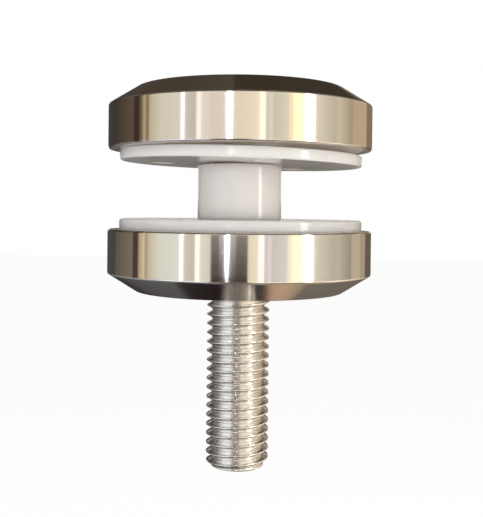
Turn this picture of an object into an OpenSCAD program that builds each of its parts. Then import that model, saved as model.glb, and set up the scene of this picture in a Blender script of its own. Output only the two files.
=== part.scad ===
// Point fixing that clamps a glass panel between two turned steel discs on a threaded stud.
// The origin is the centre of the base disc's outer face, where it meets the bracket.
// +Z runs along the stud towards the cap, and the stud's free end points down.
// The panel is not fitted, so the upper gasket leans in the play left under the cap.

/* [Discs] */
// Outside diameter of both discs
disc_d = 50; // [40:0.5:60]
// Thickness of each disc
disc_t = 11.65; // [10:0.05:16]
// Width of the bevel around each outer face, measured along the radius
bevel_w = 5.4; // [3:0.1:8]
// Height of that bevel
bevel_h = 3.4; // [2:0.1:4.5]
// Rounding where the rim meets the bevel
bevel_round = 0.45; // [0.3:0.05:1.2]
// Rounding where the bevel meets the flat outer face
face_round = 0.8; // [0.3:0.1:1.5]
// Rounding of both discs' edges on the glass side
glass_edge_round = 0.35; // [0.2:0.05:1.5]

/* [Stud] */
// Outside diameter of the stud's thread
thread_d = 12; // [8:0.5:14]
// Pitch of the thread
thread_pitch = 1.75; // [1.25:0.25:2]
// Turn of the thread about the stud, which sets where its crests pass
thread_turn = 177; // [0:1:359]
// Length of stud standing out of the base disc
stud_free = 33.4; // [20:0.1:60]
// Length of stud screwed into the cap
stud_in_cap = 7; // [5:0.25:8]
// Radial room that the tapped holes leave around the stud
thread_room = 0.05; // [0.02:0.01:0.15]
// Countersink at the mouths of the tapped holes
mouth_bevel = 0.5; // [0.2:0.1:1]
// Depth of the cap's blind hole past the end of the stud
tap_runout = 1; // [0.5:0.1:2]

/* [Gaskets] */
// Outside diameter of both gaskets
gasket_d = 46; // [36:0.5:48]
// Thickness of each gasket
gasket_t = 2; // [1:0.1:3]
// Rounding of the gaskets' outer edges
gasket_round = 0.4; // [0.1:0.05:0.45]
// Radial room between the stud and a gasket's middle hole
gasket_room = 0.4; // [0.3:0.05:0.8]
// How far each gasket lies off centre within that room
gasket_offset = 0.18; // [0:0.02:0.2]
// Diameter of the small holes in the gaskets
small_hole_d = 4.7; // [3:0.1:6]
// Number of small holes
small_hole_count = 3; // [2:1:6]
// Diameter of the circle that the small holes lie on
small_hole_circle_d = 31.4; // [28:0.2:34]
// Direction of the first small hole, from +X towards +Y
small_hole_start = 47; // [0:1:90]

/* [Spacer sleeve] */
// Outside diameter of the sleeve
sleeve_d = 16; // [15.5:0.5:20]
// Length of the sleeve
sleeve_l = 10.3; // [6:0.1:20]
// Radial room between the stud and the sleeve
sleeve_room = 0.2; // [0.1:0.05:0.5]
// Rounding of the sleeve's outer edges
sleeve_round = 0.25; // [0.1:0.05:0.4]

/* [Play] */
// Room left between the cap and the pieces stacked under it
cap_play = 0.74; // [0.2:0.02:1.2]
// Gap between faces that only lie against each other at an edge
contact_gap = 0.02; // [0.01:0.01:0.05]

/* [Hidden] */
$fn = 96;

disc_r = disc_d / 2;
thread_r = thread_d / 2;
tapped_r = thread_r + thread_room;
gasket_bore_r = thread_r + gasket_room;
gasket_r = gasket_d / 2;
sleeve_r = sleeve_d / 2;

// Heights of the stack, from the base disc's outer face up
lower_gasket_z = disc_t;
sleeve_z = lower_gasket_z + gasket_t;
sleeve_top_z = sleeve_z + sleeve_l;
cap_z = sleeve_top_z + gasket_t + cap_play;
stud_top_z = cap_z + stud_in_cap;

// An ISO thread: its depth, and how wide its crests and roots are
thread_depth = 0.6134 * thread_pitch;
thread_root_r = thread_r - thread_depth;
crest_w = thread_pitch / 8;
root_w = thread_pitch / 6;
// Facets in one turn of the thread
turn_steps = 24;
// Turns that the thread is drawn past each end of the stud, before its ends are bevelled
spare_turns = 1.5;

// The upper gasket leans until it lies on the sleeve at +X and on the cap at -X
lean = asin((cap_play - 2 * contact_gap) / (sleeve_r + gasket_r));
upper_gasket_z = sleeve_top_z + contact_gap + sleeve_r * tan(lean);

function unit(v) = v / norm(v);
function flat(corner) = [corner[0], corner[1]];

// A solid of revolution: each corner is [radius, height, rounding], with every corner convex
module turned(corners) {
    count = len(corners);
    rotate_extrude() difference() {
        polygon([for (corner = corners) flat(corner)]);
        for (i = [0 : count - 1])
            if (corners[i][2] > 0)
                corner_waste(
                    flat(corners[(i + count - 1) % count]),
                    flat(corners[i]),
                    flat(corners[(i + 1) % count]),
                    corners[i][2]
                );
    }
}

// What a rounding tool takes off the corner at tip, between the sides that run to before and after
module corner_waste(before, tip, after, radius) {
    to_before = unit(before - tip);
    to_after = unit(after - tip);
    half_angle = acos(to_before * to_after) / 2;
    reach = radius / tan(half_angle);
    centre = tip + unit(to_before + to_after) * radius / sin(half_angle);
    difference() {
        polygon([tip, tip + to_before * reach, centre, tip + to_after * reach]);
        translate(centre) circle(r = radius);
    }
}

// The blank of both discs, with its glass side at z = 0 and its bevelled outer face at disc_t
module disc_blank() {
    turned([
        [0, 0, 0],
        [disc_r, 0, glass_edge_round],
        [disc_r, disc_t - bevel_h, bevel_round],
        [disc_r - bevel_w, disc_t, face_round],
        [0, disc_t, 0]
    ]);
}

// A tapped hole from z = 0 up, drawn at the thread's outside diameter, with a countersunk mouth
module tapped_hole(depth) {
    overrun = 1;
    translate([0, 0, -overrun]) cylinder(r = tapped_r, h = depth + overrun);
    translate([0, 0, -overrun])
        cylinder(r1 = tapped_r + mouth_bevel + overrun, r2 = tapped_r, h = mouth_bevel + overrun);
}

// One moulded gasket, lying flat with its underside at z = 0
module gasket() {
    difference() {
        turned([
            [0, 0, 0],
            [gasket_r, 0, gasket_round],
            [gasket_r, gasket_t, gasket_round],
            [0, gasket_t, 0]
        ]);
        through_hole(gasket_bore_r);
        for (i = [0 : small_hole_count - 1])
            rotate(small_hole_start + i * 360 / small_hole_count)
                translate([small_hole_circle_d / 2, 0, 0])
                    through_hole(small_hole_d / 2);
    }
}

module through_hole(radius) {
    translate([0, 0, -gasket_t]) cylinder(r = radius, h = 3 * gasket_t);
}

// A rod with a right-hand thread, from z = 0 up. Its skin is one strip that climbs in a helix:
// each step holds one pitch of the section, and its last row meets the first row of the turn above.
module threaded_rod(turns) {
    section = [
        [0, thread_r],
        [crest_w, thread_r],
        [(thread_pitch + crest_w - root_w) / 2, thread_root_r],
        [(thread_pitch + crest_w + root_w) / 2, thread_root_r]
    ];
    rows = len(section);
    steps = turns * turn_steps;
    skin = [
        for (i = [0 : steps], point = section)
            let (turn = 360 * i / turn_steps)
                [point[1] * cos(turn), point[1] * sin(turn), point[0] + thread_pitch * i / turn_steps]
    ];
    strips = [
        for (i = [0 : steps - 1], j = [0 : rows - 1])
            let (here = i * rows + j, above = j < rows - 1 ? here + 1 : (i + turn_steps) * rows)
                if (above + rows < len(skin))
                    each [[here, above, above + rows], [here, above + rows, here + rows]]
    ];
    bottom = [for (i = [0 : turn_steps]) i * rows, for (j = [rows - 1 : -1 : 1]) j];
    top = [
        for (j = [0 : rows - 1]) steps * rows + j,
        for (i = [steps - 1 : -1 : steps - turn_steps]) i * rows + rows - 1
    ];
    polyhedron(
        concat(skin, [[0, 0, 0], [0, 0, (turns + 1) * thread_pitch]]),
        concat(strips, fan(bottom, len(skin)), fan(top, len(skin) + 1))
    );
}

// Triangles that close a loop of points with one middle point
function fan(loop, middle) = [
    for (i = [0 : len(loop) - 1]) [loop[i], loop[(i + 1) % len(loop)], middle]
];

// What bevels at both ends leave of a rod from z = 0 up, with room round the thread between them
module bevelled_ends(length) {
    reach = 2 * thread_depth;
    turned([
        [0, 0, 0],
        [thread_root_r, 0, 0],
        [thread_root_r + reach, reach, 0],
        [thread_root_r + reach, length - reach, 0],
        [thread_root_r, length, 0],
        [0, length, 0]
    ]);
}

module threaded_stud() {
    length = stud_free + stud_top_z;
    color("silver") translate([0, 0, -stud_free]) intersection() {
        translate([0, 0, -spare_turns * thread_pitch])
            rotate(thread_turn)
                threaded_rod(ceil(length / thread_pitch + 2 * spare_turns));
        bevelled_ends(length);
    }
}

module base_disc() {
    color("lightgray") difference() {
        translate([0, 0, disc_t]) mirror([0, 0, 1]) disc_blank();
        tapped_hole(disc_t + 1);
        translate([0, 0, disc_t]) mirror([0, 0, 1]) tapped_hole(mouth_bevel);
    }
}

module lower_gasket() {
    color("ghostwhite") translate([gasket_offset, 0, lower_gasket_z]) gasket();
}

module spacer_sleeve() {
    color("white") translate([0, 0, sleeve_z]) difference() {
        turned([
            [0, 0, 0],
            [sleeve_r, 0, sleeve_round],
            [sleeve_r, sleeve_l, sleeve_round],
            [0, sleeve_l, 0]
        ]);
        translate([0, 0, -1]) cylinder(r = thread_r + sleeve_room, h = sleeve_l + 2);
    }
}

module upper_gasket() {
    color("ghostwhite")
        translate([gasket_offset, 0, upper_gasket_z]) rotate([0, lean, 0]) gasket();
}

module cap_disc() {
    color("lightgray") translate([0, 0, cap_z]) difference() {
        disc_blank();
        tapped_hole(stud_in_cap + tap_runout);
    }
}

threaded_stud();
base_disc();
lower_gasket();
spacer_sleeve();
upper_gasket();
cap_disc();
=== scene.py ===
import math

import bmesh
import bpy
from mathutils import Matrix, Vector


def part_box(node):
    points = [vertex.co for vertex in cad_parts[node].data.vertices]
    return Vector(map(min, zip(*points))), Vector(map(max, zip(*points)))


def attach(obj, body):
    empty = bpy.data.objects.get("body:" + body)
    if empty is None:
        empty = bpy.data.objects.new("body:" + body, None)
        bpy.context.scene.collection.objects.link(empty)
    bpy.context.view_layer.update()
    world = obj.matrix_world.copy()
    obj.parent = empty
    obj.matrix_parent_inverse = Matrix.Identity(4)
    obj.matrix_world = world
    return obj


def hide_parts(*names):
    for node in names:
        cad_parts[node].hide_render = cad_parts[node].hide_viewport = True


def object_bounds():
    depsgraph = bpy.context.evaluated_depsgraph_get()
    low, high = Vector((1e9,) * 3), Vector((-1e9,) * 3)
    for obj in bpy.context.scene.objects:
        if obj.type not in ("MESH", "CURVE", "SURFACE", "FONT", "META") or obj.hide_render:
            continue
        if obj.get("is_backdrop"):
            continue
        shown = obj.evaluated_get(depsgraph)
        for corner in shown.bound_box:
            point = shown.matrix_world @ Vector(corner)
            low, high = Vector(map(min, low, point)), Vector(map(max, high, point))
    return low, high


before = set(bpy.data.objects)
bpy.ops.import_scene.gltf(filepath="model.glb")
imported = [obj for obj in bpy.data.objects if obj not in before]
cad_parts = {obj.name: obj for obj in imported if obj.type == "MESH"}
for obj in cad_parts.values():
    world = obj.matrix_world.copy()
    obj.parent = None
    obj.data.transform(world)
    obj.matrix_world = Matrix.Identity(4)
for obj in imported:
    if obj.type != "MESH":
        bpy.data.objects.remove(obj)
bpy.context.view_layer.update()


# The threaded stud is a length of M12 rod in stainless steel, with a rolled right-hand thread.
# It is sawn off and bevelled at both ends. The base disc, and at its top the cap, screw onto it.
MM = 0.001


def box_in_mm(part):
    """The lowest and highest corners of a part's box, in millimetres to a thousandth."""
    return [[round(reach / MM, 3) for reach in corner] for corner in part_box(part)]


(_, _, stud_bottom), (_, _, stud_top) = box_in_mm("threaded_stud")
# Radius of the flat ends, inside the bevels
stud_end_r = 4.88

# The thread's flanks lie at an angle to the rod, and its roots are round from one flank to the next
thread_pitch = 1.75
flank_angle = 60
flank_slope = math.tan(math.radians(flank_angle))
thread_root_r = 4.92
root_rounding = 0.144 * thread_pitch
root_step = 20
# A full thread's outside radius and flat crest, and what rolling leaves of them. The crests sag a little
# towards their edges, which are softened over this width and then have dropped this far.
thread_r = 6
crest_flat = thread_pitch / 8
thread_crest_r = 5.95
crest_sag = 0.004
crest_softening = 0.035
crest_drop = 0.9 * flank_slope * crest_softening
# Turn of the thread about the stud, which sets where its crests pass the front
thread_start = math.radians(177)

# Facets in one turn, and the turns that the thread is drawn past each end before it is cut off there
thread_facets = 120
spare_turns = 1.5
# Points nearer to each other than this are joined, and edges shorter than that are dropped
joining_distance = 0.0004
shortest_edge = 0.0003
# Each flat end has a narrow lip inside its rim, and a point this near to an end counts as on it
lip_share = 0.98
end_room = 0.02
sharp_angle = math.radians(40)

# The roots' colour is darker than the crests' as painted shade in the hollows of the thread
stud_root_shade_colour = (0.725, 0.72, 0.71)
stud_crest_colour = (0.82, 0.815, 0.81)
stud_grains_per_mm = 1.5


def piece_from(name, points, faces, material):
    """A mesh piece from points in millimetres, shaded smooth."""
    mesh = bpy.data.meshes.new(name)
    mesh.from_pydata([Vector(point) * MM for point in points], [], faces)
    mesh.materials.append(material)
    mesh.polygons.foreach_set("use_smooth", [True] * len(mesh.polygons))
    piece = bpy.data.objects.new(name, mesh)
    bpy.context.scene.collection.objects.link(piece)
    return piece


def thread_profile():
    """One pitch of the thread from crest to crest, as (height, radius) pairs."""
    crest_reach = crest_flat / 2 + (thread_r - thread_crest_r) / flank_slope
    falling = [
        (0, thread_crest_r),
        (crest_reach - crest_softening, thread_crest_r - crest_sag),
        (crest_reach + crest_softening / 2, thread_crest_r - crest_drop),
    ]
    root = []
    for degrees in range(-flank_angle, flank_angle + 1, root_step):
        turn = math.radians(degrees)
        height = thread_pitch / 2 + root_rounding * math.sin(turn)
        root.append((height, thread_root_r + root_rounding * (1 - math.cos(turn))))
    rising = [(thread_pitch - height, radius) for height, radius in reversed(falling[1:])]
    return falling + root + rising


def thread_skin():
    """Points and faces of the thread: one strip that climbs in a helix, cut to the rod's bevelled ends."""
    profile = thread_profile()
    rows = len(profile)
    steps = thread_facets * math.ceil((stud_top - stud_bottom) / thread_pitch + 2 * spare_turns)
    start = stud_bottom - spare_turns * thread_pitch
    points = []
    for i in range(steps + 1):
        angle = 2 * math.pi * i / thread_facets + thread_start
        for height, radius in profile:
            z = start + thread_pitch * i / thread_facets + height
            z = min(max(z, stud_bottom), stud_top)
            bevel_r = stud_end_r + min(z - stud_bottom, stud_top - z)
            radius = min(radius, bevel_r)
            points.append((radius * math.cos(angle), radius * math.sin(angle), z))
    faces = []
    for i in range(steps):
        for j in range(rows):
            corners = [i * rows + j, (i + 1) * rows + j]
            if j + 1 < rows:
                corners += [(i + 1) * rows + j + 1, i * rows + j + 1]
            elif i + 1 + thread_facets <= steps:
                corners += [(i + 1 + thread_facets) * rows, (i + thread_facets) * rows]
            else:
                continue
            heights = {round(points[corner][2], 6) for corner in corners}
            if heights not in ({stud_bottom}, {stud_top}):
                faces.append(corners)
    return points, faces


def lies_at(vertex, height):
    """Whether a point of the rod lies at one of its ends."""
    return abs(vertex.co.z / MM - height) < end_room


def close_end(mesh, height):
    """A narrow lip and one flat face over the rod's open end at this height."""
    rim = [edge for edge in mesh.edges if edge.is_boundary and lies_at(edge.verts[0], height)]
    made = bmesh.ops.extrude_edge_only(mesh, edges=rim)["geom"]
    for part in made:
        if isinstance(part, bmesh.types.BMVert):
            part.co.x *= lip_share
            part.co.y *= lip_share
    lip = [part for part in made if isinstance(part, bmesh.types.BMEdge)]
    bmesh.ops.contextual_create(mesh, geom=lip)


def threaded_rod(name, material):
    """The rod: its thread, with both ends closed and their rims left sharp."""
    points, faces = thread_skin()
    piece = piece_from(name, points, faces, material)
    mesh = bmesh.new()
    mesh.from_mesh(piece.data)
    bmesh.ops.remove_doubles(mesh, verts=mesh.verts, dist=joining_distance * MM)
    bmesh.ops.dissolve_degenerate(mesh, edges=mesh.edges, dist=shortest_edge * MM)
    loose = [vertex for vertex in mesh.verts if not vertex.link_faces]
    bmesh.ops.delete(mesh, geom=loose, context="VERTS")
    close_end(mesh, stud_bottom)
    close_end(mesh, stud_top)
    bmesh.ops.recalc_face_normals(mesh, faces=mesh.faces)
    for face in mesh.faces:
        face.smooth = True
    for edge in mesh.edges:
        on_rim = any(all(lies_at(vertex, end) for vertex in edge.verts) for end in (stud_bottom, stud_top))
        if on_rim and len(edge.link_faces) == 2 and edge.calc_face_angle() > sharp_angle:
            edge.smooth = False
    mesh.to_mesh(piece.data)
    mesh.free()
    return piece


def new_material(name):
    """A material with its tree of nodes and its shader."""
    material = bpy.data.materials.new(name)
    material.use_nodes = True
    tree = material.node_tree
    shader = next(made for made in tree.nodes if made.type == "BSDF_PRINCIPLED")
    return material, tree, shader


def node(tree, kind, inputs=(), **settings):
    """One shader node: settings are its own, inputs are (socket, value or output) pairs."""
    made = tree.nodes.new(kind)
    for key, value in settings.items():
        setattr(made, key, value)
    for socket, value in inputs:
        if isinstance(value, bpy.types.NodeSocket):
            tree.links.new(value, made.inputs[socket])
        else:
            made.inputs[socket].default_value = value
    return made


def round_place(tree):
    """Where a point lies, as its radius from the stud's axis (X) and its height (Z), in metres."""
    place = node(tree, "ShaderNodeTexCoord").outputs["Object"]
    parts = node(tree, "ShaderNodeSeparateXYZ", [(0, place)])
    flat = node(tree, "ShaderNodeCombineXYZ", [(0, parts.outputs[0]), (1, parts.outputs[1])])
    radius = node(tree, "ShaderNodeVectorMath", [(0, flat.outputs[0])], operation="LENGTH")
    both = node(tree, "ShaderNodeCombineXYZ", [(0, radius.outputs["Value"]), (2, parts.outputs[2])])
    return both.outputs[0]


def uneven(tree, place, per_mm, detail, roughness=0.5):
    """An uneven pattern of values about 0.5, with so many patches in a millimetre."""
    noise = node(tree, "ShaderNodeTexNoise", [
        ("Vector", place),
        ("Scale", per_mm / MM),
        ("Detail", detail),
        ("Roughness", roughness),
    ])
    return noise.outputs[0]


def blend(tree, factor, first, second):
    """A colour between two, as the factor goes from 0 to 1."""
    colours = [(0, factor), (6, first + (1,)), (7, second + (1,))]
    return node(tree, "ShaderNodeMix", colours, data_type="RGBA").outputs[2]


def grain(tree, shader, pattern, smoothest, roughest, relief, depth):
    """Lets an uneven pattern vary a surface's roughness and raise fine relief, in millimetres."""
    usual_low = 0.3
    usual_high = 0.7
    spread = [(0, pattern), (1, usual_low), (2, usual_high), (3, smoothest), (4, roughest)]
    roughness = node(tree, "ShaderNodeMapRange", spread)
    tree.links.new(roughness.outputs[0], shader.inputs["Roughness"])
    raised = [("Strength", relief), ("Distance", depth * MM), ("Height", pattern)]
    bump = node(tree, "ShaderNodeBump", raised)
    tree.links.new(bump.outputs[0], shader.inputs["Normal"])


# The rolled crests and flanks shine, the roots are painted darker as shade in the hollows of the thread,
# and both are finely grained
stud_steel, tree, shader = new_material("rolled_steel")
shader.inputs["Metallic"].default_value = 1
out_from_axis = node(tree, "ShaderNodeSeparateXYZ", [(0, round_place(tree))]).outputs[0]
# Painted shade: the colour darkens from the crests down into the roots
root_to_crest = [(0, out_from_axis), (1, thread_root_r * MM), (2, thread_crest_r * MM)]
height_on_thread = node(tree, "ShaderNodeMapRange", root_to_crest).outputs[0]
stud_colour_with_root_shade = blend(tree, height_on_thread, stud_root_shade_colour, stud_crest_colour)
tree.links.new(stud_colour_with_root_shade, shader.inputs["Base Color"])
place = node(tree, "ShaderNodeTexCoord").outputs["Object"]
grains = uneven(tree, place, stud_grains_per_mm, detail=4)
grain(tree, shader, grains, smoothest=0.19, roughest=0.29, relief=0.12, depth=0.03)

stud = threaded_rod("stud", stud_steel)
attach(stud, "stud")
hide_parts("threaded_stud")


# The base disc is turned from stainless steel bar and polished on the lathe, so that fine lines run
# round it. Its bevelled face is down, and a tapped hole runs right through it. The face towards the
# glass is left as the lathe faced it.
_, (disc_r, _, disc_t) = box_in_mm("base_disc")
bevel_w = 5.4
bevel_h = 3.4
bevel_round = 0.45
face_round = 0.8
glass_edge_round = 0.35
tapped_r = 6.05
mouth_bevel = 0.5
disc_facets = 288
arc_steps = 9
# Lengths under this count as nothing, and faces this near to a plane count as lying in it
tiny = 1e-6
flatness = 0.001

polished_dark = (0.685, 0.67, 0.65)
polished_light = (0.715, 0.70, 0.68)
faced_dark = (0.68, 0.665, 0.645)
faced_light = (0.72, 0.705, 0.685)
# Distance between the polishing lines, and between the finer lines of the facing tool
polishing_spacing = 0.35
facing_spacing = 0.15


def arc_between(centre, first, last):
    """Points and normals of a rounded corner, on the short way from its first point to its last."""
    arm = first - centre
    swing = arm.angle_signed(last - centre)
    arc = []
    for step in range(arc_steps + 1):
        turn = -swing * step / arc_steps
        arm_now = Vector((
            arm.x * math.cos(turn) - arm.y * math.sin(turn),
            arm.x * math.sin(turn) + arm.y * math.cos(turn),
        ))
        arc.append((centre + arm_now, arm_now.normalized()))
    return arc


def rounded(corners):
    """Flat and rounded stretches of a closed section: corners are (radius, height, rounding).
    Each stretch is (point, point, normal, normal), with the solid on the left of the way round."""
    count = len(corners)
    ends = []
    for i, (radius, height, rounding) in enumerate(corners):
        tip = Vector((radius, height))
        if not rounding:
            ends.append((tip, tip, []))
            continue
        before = (Vector(corners[i - 1][:2]) - tip).normalized()
        after = (Vector(corners[(i + 1) % count][:2]) - tip).normalized()
        half_angle = before.angle(after) / 2
        reach = rounding / math.tan(half_angle)
        centre = tip + (before + after).normalized() * rounding / math.sin(half_angle)
        first = tip + before * reach
        last = tip + after * reach
        ends.append((first, last, arc_between(centre, first, last)))
    stretches = []
    for i, (_, start, arc) in enumerate(ends):
        stretches += [(a, b, out_a, out_b) for (a, out_a), (b, out_b) in zip(arc, arc[1:])]
        stop = ends[(i + 1) % count][0]
        if (stop - start).length > tiny:
            way = (stop - start).normalized()
            outward = Vector((way.y, -way.x))
            stretches.append((start, stop, outward, outward))
    return stretches


def turned(name, corners, material, facets):
    """A turned ring or disc: the closed section's stretches run round the stud's axis."""
    turns = [2 * math.pi * k / facets for k in range(facets + 1)]
    points = []
    rings = {}
    faces = []
    normals = []

    def ring(spot):
        """The points that one spot of the section makes as it goes round, or the one on the axis."""
        key = (round(spot.x, 5), round(spot.y, 5))
        if key not in rings and spot.x < tiny:
            rings[key] = [len(points)] * facets
            points.append((0, 0, spot.y))
        elif key not in rings:
            rings[key] = list(range(len(points), len(points) + facets))
            for turn in turns[:-1]:
                points.append((spot.x * math.cos(turn), spot.x * math.sin(turn), spot.y))
        return rings[key]

    for start, stop, start_normal, stop_normal in rounded(corners):
        if start.x < tiny and stop.x < tiny:
            continue
        start_ring = ring(start)
        stop_ring = ring(stop)
        for k in range(facets):
            after = (k + 1) % facets
            loop = [
                (start_ring[k], start_normal, turns[k]),
                (start_ring[after], start_normal, turns[k + 1]),
                (stop_ring[after], stop_normal, turns[k + 1]),
                (stop_ring[k], stop_normal, turns[k]),
            ]
            if start.x < tiny:
                loop = loop[1:]
            elif stop.x < tiny:
                loop = loop[:3]
            faces.append([point for point, _, _ in loop])
            for _, normal, turn in loop:
                normals.append((normal.x * math.cos(turn), normal.x * math.sin(turn), normal.y))
    piece = piece_from(name, points, faces, material)
    piece.data.normals_split_custom_set(normals)
    return piece


disc_steel, tree, shader = new_material("polished_steel")
shader.inputs["Metallic"].default_value = 1
shader.inputs["Anisotropic"].default_value = 0.8
shader.inputs["Anisotropic Rotation"].default_value = 0.25
round_the_axis = node(tree, "ShaderNodeTangent", direction_type="RADIAL", axis="Z")
tree.links.new(round_the_axis.outputs[0], shader.inputs["Tangent"])
lines = uneven(tree, round_place(tree), 1 / polishing_spacing, detail=6, roughness=0.65)
tree.links.new(blend(tree, lines, polished_dark, polished_light), shader.inputs["Base Color"])
grain(tree, shader, lines, smoothest=0.09, roughest=0.14, relief=0.12, depth=0.004)

faced_steel, tree, shader = new_material("faced_steel")
shader.inputs["Metallic"].default_value = 1
lines = uneven(tree, round_place(tree), 1 / facing_spacing, detail=6, roughness=0.65)
tree.links.new(blend(tree, lines, faced_dark, faced_light), shader.inputs["Base Color"])
grain(tree, shader, lines, smoothest=0.34, roughest=0.46, relief=0.3, depth=0.01)


def face_glass_side(disc, height):
    """Gives the flat face towards the glass its own, unpolished finish."""
    disc.data.materials.append(faced_steel)
    for face in disc.data.polygons:
        off_plane = [abs(disc.data.vertices[at].co.z / MM - height) for at in face.vertices]
        if max(off_plane) < flatness:
            face.material_index = 1


base_disc = turned("base_disc_turned", [
    (tapped_r, disc_t - mouth_bevel, 0),
    (tapped_r, mouth_bevel, 0),
    (tapped_r + mouth_bevel, 0, 0),
    (disc_r - bevel_w, 0, face_round),
    (disc_r, bevel_h, bevel_round),
    (disc_r, disc_t, glass_edge_round),
    (tapped_r + mouth_bevel, disc_t, 0),
], disc_steel, disc_facets)
face_glass_side(base_disc, disc_t)
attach(base_disc, "base")
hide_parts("base_disc")


# The lower gasket is a washer moulded in white nylon, with three small holes in it.
# It lies flat on the base disc and keeps the glass off the steel.
(_, _, gasket_z), (gasket_right, _, gasket_top) = box_in_mm("lower_gasket")
gasket_r = 23
gasket_t = round(gasket_top - gasket_z, 3)
# Both gaskets lie a little off centre, in the room round the stud
gasket_offset = round(gasket_right - gasket_r, 3)
gasket_bore_r = 6.4
gasket_round = 0.4
small_hole_count = 3
small_hole_r = 2.35
small_hole_circle_r = 15.7
small_hole_start = 47
hole_round = 0.12
# Facets of each sector's outer edge, steps along its sides, and steps round its rounded edges
sector_facets = 96
side_steps = 12
rim_steps = 7
mouth_steps = 4

nylon_light = (0.93, 0.86, 0.805)
nylon_dark = (0.905, 0.82, 0.755)
clouds_per_mm = 0.42


def arc_points(radius, start, stop):
    """Points on a circle about the axis, from one angle in degrees to the other, without the last."""
    step = (stop - start) / sector_facets
    angles = [math.radians(start + step * k) for k in range(sector_facets)]
    return [Vector((radius * math.cos(angle), radius * math.sin(angle))) for angle in angles]


def out_at(degrees):
    """The direction straight out from the axis at this angle."""
    return Vector((math.cos(math.radians(degrees)), math.sin(math.radians(degrees))))


def side_points(degrees, start_r, stop_r):
    """Points along a sector's side, from one radius to the other, without the last."""
    return [out_at(degrees) * (start_r + (stop_r - start_r) * k / side_steps) for k in range(side_steps)]


def quarter_turn(steps):
    """Angles from 0 to a right angle."""
    return [math.pi / 2 * step / steps for step in range(steps + 1)]


def washer(name, material):
    """A gasket lying flat at z = 0: equal sectors, each wrapped round its small hole."""
    points = []
    numbers = {}
    faces = []
    normals = []

    def corner(x, y, z, nx, ny, nz):
        """One corner of a face, with its normal. Corners in the same place share their point."""
        key = (round(x, 5), round(y, 5), round(z, 5))
        if key not in numbers:
            numbers[key] = len(points)
            points.append((x, y, z))
        return numbers[key], Vector((nx, ny, nz)).normalized()

    def on_ring(row, angle):
        """A corner of a wall round the axis: its row is (radius, height, outward share, upward share)."""
        radius, height, out, up = row
        x = math.cos(angle)
        y = math.sin(angle)
        return corner(radius * x, radius * y, height, out * x, out * y, up)

    def on_hole(centre, row, way):
        """A corner of a small hole's wall, this way from its centre: its row is (radius, height, up)."""
        radius, height, up = row
        spot = centre + way * radius
        inward = math.sqrt(max(0, 1 - up ** 2))
        return corner(spot.x, spot.y, height, -way.x * inward, -way.y * inward, up)

    def face(corners):
        """A face of four corners, or of three where two of them fall together."""
        kept = {}
        for point, normal in corners:
            kept.setdefault(point, normal)
        if len(kept) > 2:
            faces.append(list(kept))
            normals.extend(kept.values())

    # The rounded outer edge from the top down, and the wall of the middle hole from the bottom up
    flat_r = gasket_r - gasket_round
    rim = []
    for turn in quarter_turn(rim_steps):
        out = math.sin(turn)
        up = math.cos(turn)
        rim.append((flat_r + gasket_round * out, gasket_t - gasket_round * (1 - up), out, up))
    rim += [(radius, gasket_t - height, out, -up) for radius, height, out, up in reversed(rim)]
    bore = [(gasket_bore_r, 0, -1, 0), (gasket_bore_r, gasket_t, -1, 0)]
    # The small hole's wall with its rounded mouths, from the top down
    mouth_r = small_hole_r + hole_round
    wall = []
    for turn in quarter_turn(mouth_steps):
        up = math.cos(turn)
        wall.append((mouth_r - hole_round * math.sin(turn), gasket_t - hole_round * (1 - up), up))
    wall += [(radius, gasket_t - height, -up) for radius, height, up in reversed(wall)]

    sector = 360 / small_hole_count
    for number in range(small_hole_count):
        middle = small_hole_start + sector * number
        first = middle - sector / 2
        last = middle + sector / 2
        hole_centre = out_at(middle) * small_hole_circle_r
        border = arc_points(flat_r, first, last) + side_points(last, flat_r, gasket_bore_r)
        border += arc_points(gasket_bore_r, last, first) + side_points(first, gasket_bore_r, flat_r)
        ways = [(point - hole_centre).normalized() for point in border]
        for k, (point, way) in enumerate(zip(border, ways)):
            after = border[(k + 1) % len(border)]
            way_after = ways[(k + 1) % len(border)]
            spots = [hole_centre + way * mouth_r, point, after, hole_centre + way_after * mouth_r]
            face([corner(spot.x, spot.y, gasket_t, 0, 0, 1) for spot in spots])
            face([corner(spot.x, spot.y, 0, 0, 0, -1) for spot in spots][::-1])
            for above, below in zip(wall, wall[1:]):
                loop = ((above, way), (above, way_after), (below, way_after), (below, way))
                face([on_hole(hole_centre, row, at) for row, at in loop])
        for k in range(sector_facets):
            here = math.radians(first + sector * k / sector_facets)
            beside = math.radians(first + sector * (k + 1) / sector_facets)
            for rows in (rim, bore):
                for one, other in zip(rows, rows[1:]):
                    loop = ((other, here), (other, beside), (one, beside), (one, here))
                    face([on_ring(row, at) for row, at in loop])
    piece = piece_from(name, points, faces, material)
    piece.data.normals_split_custom_set(normals)
    return piece


# Nylon lets light in: it glows through its thickness, and its moulded skin is faintly uneven
nylon, tree, shader = new_material("white_nylon")
shader.inputs["IOR"].default_value = 1.53
shader.inputs["Subsurface Weight"].default_value = 1
shader.inputs["Subsurface Radius"].default_value = (1.0, 0.9, 0.8)
shader.inputs["Subsurface Scale"].default_value = 0.008
place = node(tree, "ShaderNodeTexCoord").outputs["Object"]
clouds = uneven(tree, place, clouds_per_mm, detail=5)
tree.links.new(blend(tree, clouds, nylon_light, nylon_dark), shader.inputs["Base Color"])
grain(tree, shader, clouds, smoothest=0.08, roughest=0.15, relief=0.2, depth=0.02)

lower_gasket = washer("lower_washer", nylon)
lower_gasket.data.transform(Matrix.Translation(Vector((gasket_offset, 0, gasket_z)) * MM))
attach(lower_gasket, "base_stack")
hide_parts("lower_gasket")


# The spacer sleeve is a plain tube of the same nylon, which stands on the lower gasket.
# In use it fills the hole of the glass and keeps the stud off its edge.
(_, _, sleeve_z), (sleeve_r, _, sleeve_top) = box_in_mm("spacer_sleeve")
sleeve_bore_r = 6.2
sleeve_round = 0.25
sleeve_facets = 192

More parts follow.
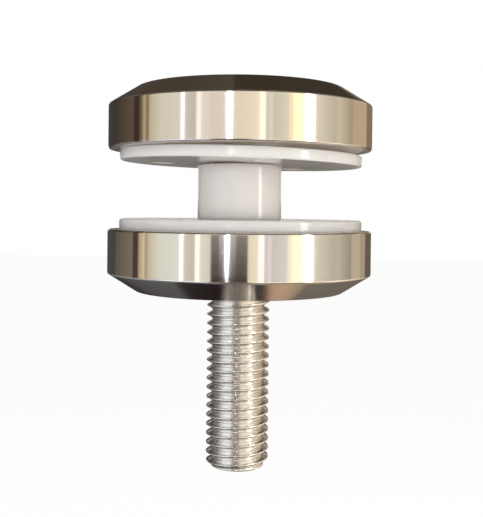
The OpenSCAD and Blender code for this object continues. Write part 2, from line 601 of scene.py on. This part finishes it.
sleeve = turned("sleeve_tube", [
    (sleeve_bore_r, sleeve_top, 0),
    (sleeve_bore_r, sleeve_z, 0),
    (sleeve_r, sleeve_z, sleeve_round),
    (sleeve_r, sleeve_top, sleeve_round),
], nylon, sleeve_facets)
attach(sleeve, "base_stack")
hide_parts("spacer_sleeve")


# The upper gasket is the same washer. With no glass fitted it hangs loose in the play under the cap,
# and it leans until it lies on the sleeve on one side and on the cap on the other.
(_, _, cap_z), (_, _, cap_top) = box_in_mm("cap_disc")
cap_play = cap_z - sleeve_top - gasket_t
contact_gap = 0.02
gasket_lean = math.asin((cap_play - 2 * contact_gap) / (sleeve_r + gasket_r))
upper_gasket_z = sleeve_top + contact_gap + sleeve_r * math.tan(gasket_lean)

upper_gasket = washer("upper_washer", nylon)
upper_gasket_place = Matrix.Translation(Vector((gasket_offset, 0, upper_gasket_z)) * MM)
upper_gasket.data.transform(upper_gasket_place @ Matrix.Rotation(gasket_lean, 4, "Y"))
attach(upper_gasket, "cap_gasket")
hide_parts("upper_gasket")


# The cap is the same turned and polished disc the other way up. Its tapped hole is blind,
# so that nothing of the stud shows on the outside, and it clamps the glass against the base disc.
cap_hole_depth = 8
cap_hole_top = cap_z + cap_hole_depth

cap = turned("cap_turned", [
    (0, cap_hole_top, 0),
    (tapped_r, cap_hole_top, 0),
    (tapped_r, cap_z + mouth_bevel, 0),
    (tapped_r + mouth_bevel, cap_z, 0),
    (disc_r, cap_z, glass_edge_round),
    (disc_r, cap_top - bevel_h, bevel_round),
    (disc_r - bevel_w, cap_top, face_round),
    (0, cap_top, 0),
], disc_steel, disc_facets)
face_glass_side(cap, cap_z)
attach(cap, "cap")
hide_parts("cap_disc")


# The studio is a white room with a pale matt floor well below the object. Seen directly or in the steel
# the room is white, and what it throws on the object as soft light is half as strong.
room_white = (1, 1, 1, 1)
room_light = (1.0, 0.99, 0.98, 1)
room_strength = 0.5
floor_z = -320
floor_size = 12000
floor_cells = 12
floor_grey = (0.86, 0.86, 0.86, 1)
floor_lift = 0.5


def seen_directly(tree):
    """1 for the rays of the camera, of reflections and through glass, and 0 for all others."""
    rays = node(tree, "ShaderNodeLightPath").outputs
    mirrored = [(0, rays["Is Camera Ray"]), (1, rays["Is Glossy Ray"])]
    seen = node(tree, "ShaderNodeMath", mirrored, operation="MAXIMUM").outputs[0]
    through = [(0, seen), (1, rays["Is Transmission Ray"])]
    return node(tree, "ShaderNodeMath", through, operation="MAXIMUM").outputs[0]


def grid_faces(columns, rows):
    """Faces of a sheet whose points are numbered up each column, from the left."""
    faces = []
    for i in range(columns):
        for j in range(rows):
            here = i * (rows + 1) + j
            beside = here + rows + 1
            faces.append((here, beside, beside + 1, here + 1))
    return faces


world = bpy.data.worlds.new("white_room")
bpy.context.scene.world = world
world.use_nodes = True
tree = world.node_tree
tree.nodes.clear()
soft = node(tree, "ShaderNodeBackground", [("Color", room_light), ("Strength", room_strength)])
white = node(tree, "ShaderNodeBackground", [("Color", room_white), ("Strength", 1)])
both = [(0, seen_directly(tree)), (1, soft.outputs[0]), (2, white.outputs[0])]
room = node(tree, "ShaderNodeMixShader", both)
node(tree, "ShaderNodeOutputWorld", [(0, room.outputs[0])])

floor_paint, tree, shader = new_material("floor_paint")
shader.inputs["Base Color"].default_value = floor_grey
shader.inputs["Roughness"].default_value = 0.9
shader.inputs["Emission Color"].default_value = room_white
lift = node(tree, "ShaderNodeMath", [(0, seen_directly(tree)), (1, floor_lift)], operation="MULTIPLY")
tree.links.new(lift.outputs[0], shader.inputs["Emission Strength"])

across_floor = [(k / floor_cells - 0.5) * floor_size for k in range(floor_cells + 1)]
floor_points = [(x, y, floor_z) for x in across_floor for y in across_floor]
floor = piece_from("floor", floor_points, grid_faces(floor_cells, floor_cells), floor_paint)
floor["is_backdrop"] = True


# Three soft lamps light the object: one at each side, the right one warmer and stronger, and a small
# one in front. They don't show in the steel.
def soft_lamp(name, place, aim, size, power, colour):
    """A round soft lamp, with its place, its aim and its size in metres and its power in watts."""
    light = bpy.data.lights.new(name, "AREA")
    light.shape = "DISK"
    light.size = size
    light.energy = power
    light.color = colour
    lamp = bpy.data.objects.new(name, light)
    lamp.location = place
    lamp.rotation_euler = (Vector(aim) - Vector(place)).to_track_quat("-Z", "Y").to_euler()
    lamp.visible_glossy = False
    bpy.context.scene.collection.objects.link(lamp)


soft_lamp("left_lamp", (-0.7, -0.7, 0.09), (0, 0, 0), size=0.5, power=2.5, colour=(0.97, 0.98, 1.0))
soft_lamp("right_lamp", (0.8, -0.5, 0.06), (0, 0, 0), size=0.5, power=3.9, colour=(1.0, 0.93, 0.83))
soft_lamp("front_lamp", (-0.1, -0.9, -0.02), (0, 0, 0.01), size=0.3, power=2.2, colour=(1.0, 0.99, 0.96))


# Round the object stands a tent of curved cards and lights, which polished steel needs to look like
# steel. They show only as reflections. Directions are in degrees from the camera towards the right,
# and heights in degrees above the level of the tent's centre.
tent_centre = Vector((0, 0, 15))
tent_r = 250
# Each card hangs this much inside the one before it, so that none of them coincide
card_step = 0.1
# Cells of a card are no larger than this, in degrees
card_cell = 4
wall_bottom = -12
wall_middle = 1.5
wall_top = 24

# Each strip of the tent's wall hangs between two directions. It gives the cap this light at its left
# and at its right edge, and its lower part, which the base disc shows, is so many times as bright.
# Lights and their changes are in red, green and blue.
strips = [
    (-180, -149, (0.05, 0.045, 0.04), (0.06, 0.055, 0.05), (1.1, 1.2, 1.25)),
    (-149, -127, (0.07, 0.06, 0.055), (0.06, 0.05, 0.042), (1.2, 1.4, 1.45)),
    (-127, -96.5, (0.065, 0.05, 0.04), (0.145, 0.103, 0.072), (1.9, 2.1, 2.25)),
    (-96.5, -89.3, (0.06, 0.04, 0.03), (0.05, 0.032, 0.024), (1.5, 1.6, 1.7)),
    (-89.3, -85.5, (0.16, 0.12, 0.08), (0.22, 0.165, 0.11), (3.5, 3.5, 3.7)),
    (-85.5, -82, (0.50, 0.38, 0.25), (0.72, 0.56, 0.36), (1.5, 1.5, 1.6)),
    (-82, -78.2, (0.33, 0.225, 0.135), (0.33, 0.225, 0.135), (1.9, 2.05, 2.35)),
    (-78.2, -66, (0.70, 0.59, 0.42), (0.90, 0.83, 0.65), (1.1, 1.15, 1.22)),
    (-66, -47.4, (0.90, 0.83, 0.65), (0.95, 0.88, 0.75), (1.08, 1.15, 1.25)),
    (-47.4, -44.6, (2.3, 2.2, 2.05), (2.3, 2.2, 2.05), (1.1, 1.1, 1.15)),
    (-44.6, -34.6, (0.86, 0.77, 0.68), (0.73, 0.66, 0.58), (1.08, 1.06, 1.06)),
    (-34.6, -30.6, (1.46, 1.34, 1.20), (1.46, 1.34, 1.20), (1.1, 1.15, 1.15)),
    (-30.6, -23, (1.12, 0.97, 0.84), (1.03, 0.90, 0.78), (0.96, 1.0, 0.98)),
    (-23, 5, (0.98, 0.87, 0.76), (1.10, 0.96, 0.75), (1.0, 1.0, 1.0)),
    (5, 15, (1.10, 0.97, 0.74), (1.30, 1.06, 0.80), (0.95, 1.0, 1.0)),
    (15, 19.6, (1.7, 1.6, 1.25), (1.7, 1.6, 1.25), (1.0, 1.0, 1.15)),
    (19.6, 22.4, (0.90, 0.80, 0.66), (0.90, 0.80, 0.66), (1.0, 0.98, 1.15)),
    (22.4, 25.4, (1.00, 0.95, 0.80), (1.00, 0.95, 0.80), (1.1, 1.0, 1.2)),
    (25.4, 38.4, (0.83, 0.79, 0.60), (1.00, 0.92, 0.70), (0.97, 1.0, 1.2)),
    (38.4, 42, (1.36, 1.10, 0.76), (1.36, 1.10, 0.76), (1.0, 1.1, 1.2)),
    (42, 52.8, (1.65, 1.55, 0.95), (1.65, 1.58, 1.0), (1.0, 1.0, 1.1)),
    (52.8, 53.5, (1.65, 1.58, 1.0), (1.65, 1.58, 1.0), (1.0, 1.0, 1.1)),
    (53.5, 60.4, (9, 9, 9), (9, 9, 9), (1.0, 1.0, 1.0)),
    (60.4, 84, (1.05, 0.91, 0.71), (0.68, 0.61, 0.46), (0.92, 0.97, 1.0)),
    (84, 90, (0.82, 0.72, 0.54), (0.78, 0.68, 0.50), (0.84, 0.9, 0.95)),
    (90, 105, (0.76, 0.64, 0.47), (0.50, 0.40, 0.27), (0.84, 0.9, 0.98)),
    (105, 120, (0.66, 0.50, 0.34), (0.66, 0.49, 0.32), (1.02, 1.12, 1.2)),
    (120, 132, (0.66, 0.49, 0.32), (0.66, 0.48, 0.31), (0.78, 0.84, 0.88)),
    (132, 165, (0.30, 0.215, 0.14), (0.24, 0.17, 0.12), (0.56, 0.62, 0.66)),
    (165, 180, (0.08, 0.065, 0.05), (0.06, 0.05, 0.045), (0.9, 1.0, 1.1)),
]
# The tent's cards, as (left, right, bottom, top, light at the left edge, light at the right edge)
tent = []
for left, right, left_light, right_light, lower_gain in strips:
    tent.append((left, right, wall_middle, wall_top, left_light, right_light))
    low_left = [light * gain for light, gain in zip(left_light, lower_gain)]
    low_right = [light * gain for light, gain in zip(right_light, lower_gain)]
    tent.append((left, right, wall_bottom, wall_middle, low_left, low_right))
# Overhead the tent is dark towards the back and brown elsewhere. Low at the back hangs a light card.
tent += [
    (-176, -135, wall_top, 88, (0.098, 0.079, 0.062), (0.055, 0.038, 0.028)),
    (135, 184, wall_top, 88, (0.05, 0.042, 0.028), (0.054, 0.043, 0.03)),
    (-135, 20, wall_top, 62, (0.14, 0.12, 0.10), (0.14, 0.12, 0.10)),
    (20, 112, wall_top, 62, (0.28, 0.23, 0.18), (0.28, 0.23, 0.18)),
    (112, 135, wall_top, 62, (0.10, 0.08, 0.06), (0.06, 0.05, 0.04)),
    (-135, 135, 62, 88, (0.12, 0.10, 0.08), (0.12, 0.10, 0.08)),
    (152, 208, 0.8, 6, (0.95, 0.92, 0.88), (0.95, 0.92, 0.88)),
]
# Below it is dark at the back and straight down, cool on the left and warm on the right, with a bright
# band across the front
tent += [
    (-200, -148, -88, wall_bottom, (0.012, 0.006, 0.006), (0.022, 0.013, 0.014)),
    (-200, -157, -53, wall_bottom, (0.04, 0.04, 0.038), (0.05, 0.048, 0.046)),
    (-157, -148, -53, wall_bottom, (0.08, 0.075, 0.073), (0.13, 0.125, 0.125)),
    (-148, -142, -80, wall_bottom, (0.15, 0.15, 0.15), (0.25, 0.25, 0.25)),
    (-142, -100, -75, wall_bottom, (0.25, 0.25, 0.25), (0.40, 0.40, 0.41)),
    (148, 186, -51.5, wall_bottom, (0.20, 0.17, 0.145), (0.10, 0.09, 0.08)),
    (148, 160.9, -55.8, -51.5, (0.50, 0.37, 0.25), (0.50, 0.37, 0.25)),
    (148, 160.9, -68, -55.8, (0.66, 0.44, 0.28), (0.66, 0.44, 0.28)),
    (142, 148, -80, wall_bottom, (0.40, 0.31, 0.22), (0.24, 0.19, 0.14)),
    (100, 142, -75, wall_bottom, (1.25, 1.05, 0.78), (0.70, 0.56, 0.40)),
    (-100, 100, -88, wall_bottom, (0.06, 0.055, 0.05), (0.10, 0.085, 0.07)),
    (-100, -70, -38, -18, (0.50, 0.51, 0.53), (1.65, 1.70, 1.76)),
    (-70, -27, -39, -18, (1.70, 1.75, 1.81), (1.95, 2.00, 2.08)),
    (-27, 12, -39, -18, (0.90, 0.80, 0.70), (0.90, 0.80, 0.70)),
    (12, 100, -37, -14, (1.75, 1.47, 1.20), (1.60, 1.35, 1.06)),
]

card_light, tree, shader = new_material("card_light")
tree.nodes.remove(shader)
tint = node(tree, "ShaderNodeAttribute", attribute_name="light")
glow = node(tree, "ShaderNodeEmission", [("Color", tint.outputs["Color"]), ("Strength", 1)])
card_output = next(made for made in tree.nodes if made.type == "OUTPUT_MATERIAL")
tree.links.new(glow.outputs[0], card_output.inputs[0])


def light_card(name, points, faces, lights):
    """A card that gives the light set at each of its points, and shows only in reflections."""
    card = piece_from(name, points, faces, card_light)
    shades = card.data.color_attributes.new("light", "FLOAT_COLOR", "POINT")
    for shade, light in zip(shades.data, lights):
        shade.color = (*light, 1)
    for kind in ("camera", "diffuse", "transmission", "volume_scatter", "shadow"):
        setattr(card, "visible_" + kind, False)
    card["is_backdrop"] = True


def tent_point(direction, height, radius):
    """The place on the tent in this direction and at this height, both in degrees."""
    a = math.radians(direction)
    e = math.radians(height)
    way = Vector((math.sin(a) * math.cos(e), -math.cos(a) * math.cos(e), math.sin(e)))
    return tent_centre + radius * way


for number, (left, right, low, high, left_light, right_light) in enumerate(tent):
    columns = max(2, math.ceil((right - left) / card_cell))
    rows = max(2, math.ceil((high - low) / card_cell))
    points = []
    lights = []
    for i in range(columns + 1):
        direction = left + (right - left) * i / columns
        light = [a + (b - a) * i / columns for a, b in zip(left_light, right_light)]
        for j in range(rows + 1):
            height = low + (high - low) * j / rows
            points.append(tent_point(direction, height, tent_r - card_step * number))
            lights.append(light)
    light_card("tent_card_%02d" % number, points, grid_faces(columns, rows), lights)


# Four upright cards stand close to the camera. The base disc shows the dark one behind it, and in front
# of that a narrow lamp that tapers to a point, with a faint glow on both sides of it. The cap shows a
# second narrow lamp over the first.
def upright_card(name, y, rows):
    """A card square to the camera: rows are (height, left, right, light) from the top down."""
    points = []
    lights = []
    for z, left, right, light in rows:
        points += [(left, y, z), (right, y, z)]
        lights += [light, light]
    faces = [(2 * k, 2 * k + 1, 2 * k + 3, 2 * k + 2) for k in range(len(rows) - 1)]
    light_card(name, points, faces, lights)


upright_card("camera_card", -166, [
    (14, -65, 19.5, (0.45, 0.40, 0.36)),
    (7, -65, 19.5, (0.25, 0.215, 0.195)),
    (2, -65, 19.5, (0.18, 0.15, 0.135)),
    (-4, -65, 19.5, (0.11, 0.08, 0.068)),
    (-8, -65, 19.5, (0.06, 0.035, 0.028)),
    (-12, -65, 19.5, (0.025, 0.014, 0.013)),
    (-75, -65, 19.5, (0.02, 0.012, 0.012)),
])
upright_card("glow_card", -163, [
    (14, -45, -4, (0.68, 0.65, 0.66)),
    (4, -44, -6, (0.62, 0.585, 0.59)),
    (-3, -38, -13, (0.30, 0.265, 0.23)),
    (-8, -34, -22, (0.06, 0.045, 0.04)),
])
upright_card("line_lamp", -160, [
    (14, -30.6, -20.4, (8, 8, 8.2)),
    (2, -29.5, -21.2, (8, 8, 8.2)),
    (-2, -27.9, -22.9, (8, 8, 8.2)),
    (-5, -25.8, -25.0, (6, 6, 6.1)),
])
upright_card("cap_line_lamp", -160, [
    (60, -27.2, -18.6, (12, 12, 12.2)),
    (32, -27.2, -18.6, (12, 12, 12.2)),
])


# The camera stands a little above the lower gasket, close to the object and almost square to the stud.
# Its picture is shifted down, so that the stud's free end stays in it.
lens = bpy.data.cameras.new("camera")
lens.lens = 59.37
lens.sensor_width = 36
lens.shift_x = 0.0159
lens.shift_y = -0.0798
lens.clip_start = 0.01
lens.clip_end = 20
camera = bpy.data.objects.new("camera", lens)
bpy.context.scene.collection.objects.link(camera)
camera_place = Vector((0, -163.6, 15.33)) * MM
# How far it looks up, turns to the left and leans over to the left
camera_pitch = math.radians(-0.454)
camera_yaw = math.radians(0.404)
camera_roll = math.radians(0.623)
aim = Matrix.Rotation(camera_yaw, 4, "Z") @ Matrix.Rotation(math.pi / 2 + camera_pitch, 4, "X")
camera.matrix_world = Matrix.Translation(camera_place) @ aim @ Matrix.Rotation(camera_roll, 4, "Z")
bpy.context.scene.camera = camera
bpy.context.scene.view_settings.view_transform = "Standard"

low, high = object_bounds()
